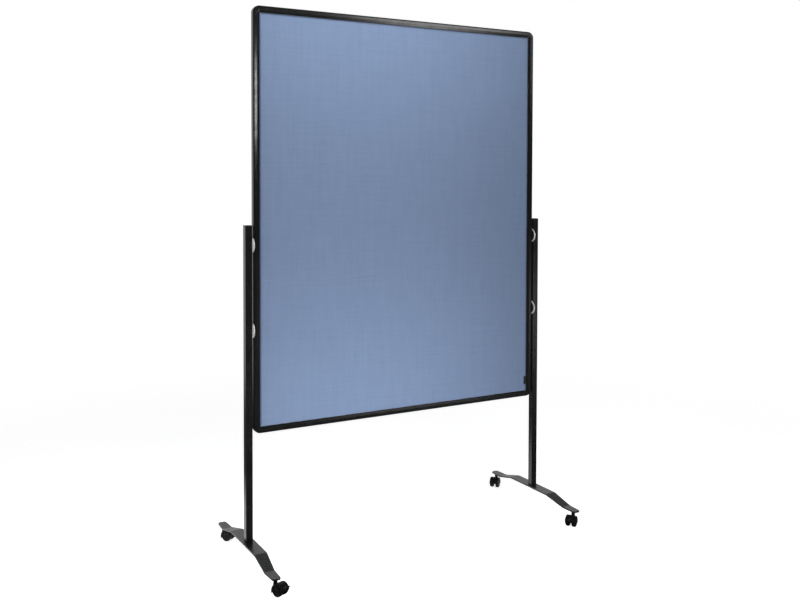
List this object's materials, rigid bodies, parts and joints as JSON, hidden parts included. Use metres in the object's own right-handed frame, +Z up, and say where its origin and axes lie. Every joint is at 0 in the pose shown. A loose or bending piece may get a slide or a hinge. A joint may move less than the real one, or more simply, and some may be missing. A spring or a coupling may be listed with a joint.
{
  "type": "presentation pinboard",
  "caption": "Mobile presentation board: fabric pin panel in a black frame, hooked between square posts on bent feet with braked twin-wheel casters.",
  "frame": {"origin": "on the floor, in the middle of the box round the whole object", "axes": "+X along the board to the right seen from the front, +Y to the rear, +Z up"},
  "size_m": [1.28, 0.6142, 1.962],
  "materials": {
    "frame": "black semi-gloss coating",
    "corner": "black semi-gloss coating",
    "core": "soft fibre core, covered",
    "fabric": "grey-blue woven fabric",
    "tab": "plain black",
    "post": "black semi-gloss coating",
    "cap": "black",
    "plug": "black",
    "disc": "bright turned metal",
    "pad": "black",
    "insert": "plain",
    "screw": "zinc",
    "foot": "black satin coating",
    "stem": "plain",
    "housing": "black moulded",
    "wheel": "black moulded",
    "lever": "black moulded"
  },
  "bodies": {
    "stand": {"caster_stem_front_left": "stem", "caster_stem_front_right": "stem", "caster_stem_rear_left": "stem", "caster_stem_rear_right": "stem", "corner_bottom_left": "corner", "corner_bottom_right": "corner", "corner_top_left": "corner", "corner_top_right": "corner", "foot_left": "foot", "foot_right": "foot", "foot_screws": "screw", "frame_bottom": "frame", "frame_inserts": "insert", "frame_left": "frame", "frame_right": "frame", "frame_top": "frame", "friction_pad_lower_left": "pad", "friction_pad_lower_right": "pad", "friction_pad_upper_left": "pad", "friction_pad_upper_right": "pad", "front_fabric": "fabric", "hooked_disc_lower_left": "disc", "hooked_disc_lower_right": "disc", "hooked_disc_upper_left": "disc", "hooked_disc_upper_right": "disc", "label_tab": "tab", "pin_core": "core", "post_cap_left": "cap", "post_cap_right": "cap", "post_left": "post", "post_plug_left": "plug", "post_plug_right": "plug", "post_right": "post", "rear_fabric": "fabric"},
    "caster_front_left": {"caster_housing_front_left": "housing", "caster_axle_front_left": "stem", "lever_pin_front_left": "stem"},
    "wheel_far_front_left": {"wheel_far_front_left": "wheel"},
    "wheel_near_front_left": {"wheel_near_front_left": "wheel"},
    "brake_front_left": {"brake_lever_front_left": "lever"},
    "caster_rear_left": {"caster_housing_rear_left": "housing", "caster_axle_rear_left": "stem", "lever_pin_rear_left": "stem"},
    "wheel_far_rear_left": {"wheel_far_rear_left": "wheel"},
    "wheel_near_rear_left": {"wheel_near_rear_left": "wheel"},
    "brake_rear_left": {"brake_lever_rear_left": "lever"},
    "caster_front_right": {"caster_housing_front_right": "housing", "caster_axle_front_right": "stem", "lever_pin_front_right": "stem"},
    "wheel_far_front_right": {"wheel_far_front_right": "wheel"},
    "wheel_near_front_right": {"wheel_near_front_right": "wheel"},
    "brake_front_right": {"brake_lever_front_right": "lever"},
    "caster_rear_right": {"caster_housing_rear_right": "housing", "caster_axle_rear_right": "stem", "lever_pin_rear_right": "stem"},
    "wheel_far_rear_right": {"wheel_far_rear_right": "wheel"},
    "wheel_near_rear_right": {"wheel_near_rear_right": "wheel"},
    "brake_rear_right": {"brake_lever_rear_right": "lever"}
  },
  "joints": [
    {"name": "swivel_front_left", "type": "hinge", "parent": "stand", "child": "caster_front_left", "pos_m": [-0.6195, -0.255, 0.048], "axis": [0, 0, 1], "continuous": true},
    {"name": "roll_far_front_left", "type": "hinge", "parent": "caster_front_left", "child": "wheel_far_front_left", "pos_m": [-0.61055, -0.2751, 0.0195], "axis": [0.9135, 0.4067, 0], "continuous": true},
    {"name": "roll_near_front_left", "type": "hinge", "parent": "caster_front_left", "child": "wheel_near_front_left", "pos_m": [-0.61055, -0.2751, 0.0195], "axis": [0.9135, 0.4067, 0], "continuous": true},
    {"name": "brake_front_left", "type": "hinge", "parent": "caster_front_left", "child": "brake_front_left", "pos_m": [-0.60587, -0.2856, 0.028], "axis": [0.9135, 0.4067, 0], "range_deg": [0, 15]},
    {"name": "swivel_rear_left", "type": "hinge", "parent": "stand", "child": "caster_rear_left", "pos_m": [-0.6195, 0.283, 0.048], "axis": [0, 0, 1], "continuous": true},
    {"name": "roll_far_rear_left", "type": "hinge", "parent": "caster_rear_left", "child": "wheel_far_rear_left", "pos_m": [-0.6072, 0.26476, 0.0195], "axis": [0.829, 0.5592, 0], "continuous": true},
    {"name": "roll_near_rear_left", "type": "hinge", "parent": "caster_rear_left", "child": "wheel_near_rear_left", "pos_m": [-0.6072, 0.26476, 0.0195], "axis": [0.829, 0.5592, 0], "continuous": true},
    {"name": "brake_rear_left", "type": "hinge", "parent": "caster_rear_left", "child": "brake_rear_left", "pos_m": [-0.60077, 0.25523, 0.028], "axis": [0.829, 0.5592, 0], "range_deg": [0, 15]},
    {"name": "swivel_front_right", "type": "hinge", "parent": "stand", "child": "caster_front_right", "pos_m": [0.6195, -0.255, 0.048], "axis": [0, 0, 1], "continuous": true},
    {"name": "roll_far_front_right", "type": "hinge", "parent": "caster_front_right", "child": "wheel_far_front_right", "pos_m": [0.60084, -0.26666, 0.0195], "axis": [0.5299, -0.848, 0], "continuous": true},
    {"name": "roll_near_front_right", "type": "hinge", "parent": "caster_front_right", "child": "wheel_near_front_right", "pos_m": [0.60084, -0.26666, 0.0195], "axis": [0.5299, -0.848, 0], "continuous": true},
    {"name": "brake_front_right", "type": "hinge", "parent": "caster_front_right", "child": "brake_front_right", "pos_m": [0.59109, -0.27275, 0.028], "axis": [0.5299, -0.848, 0], "range_deg": [0, 15]},
    {"name": "swivel_rear_right", "type": "hinge", "parent": "stand", "child": "caster_rear_right", "pos_m": [0.6195, 0.283, 0.048], "axis": [0, 0, 1], "continuous": true},
    {"name": "roll_far_rear_right", "type": "hinge", "parent": "caster_rear_right", "child": "wheel_far_rear_right", "pos_m": [0.60265, 0.26886, 0.0195], "axis": [0.6428, -0.766, 0], "continuous": true},
    {"name": "roll_near_rear_right", "type": "hinge", "parent": "caster_rear_right", "child": "wheel_near_rear_right", "pos_m": [0.60265, 0.26886, 0.0195], "axis": [0.6428, -0.766, 0], "continuous": true},
    {"name": "brake_rear_right", "type": "hinge", "parent": "caster_rear_right", "child": "brake_rear_right", "pos_m": [0.59384, 0.26147, 0.028], "axis": [0.6428, -0.766, 0], "range_deg": [0, 15]}
  ]
}
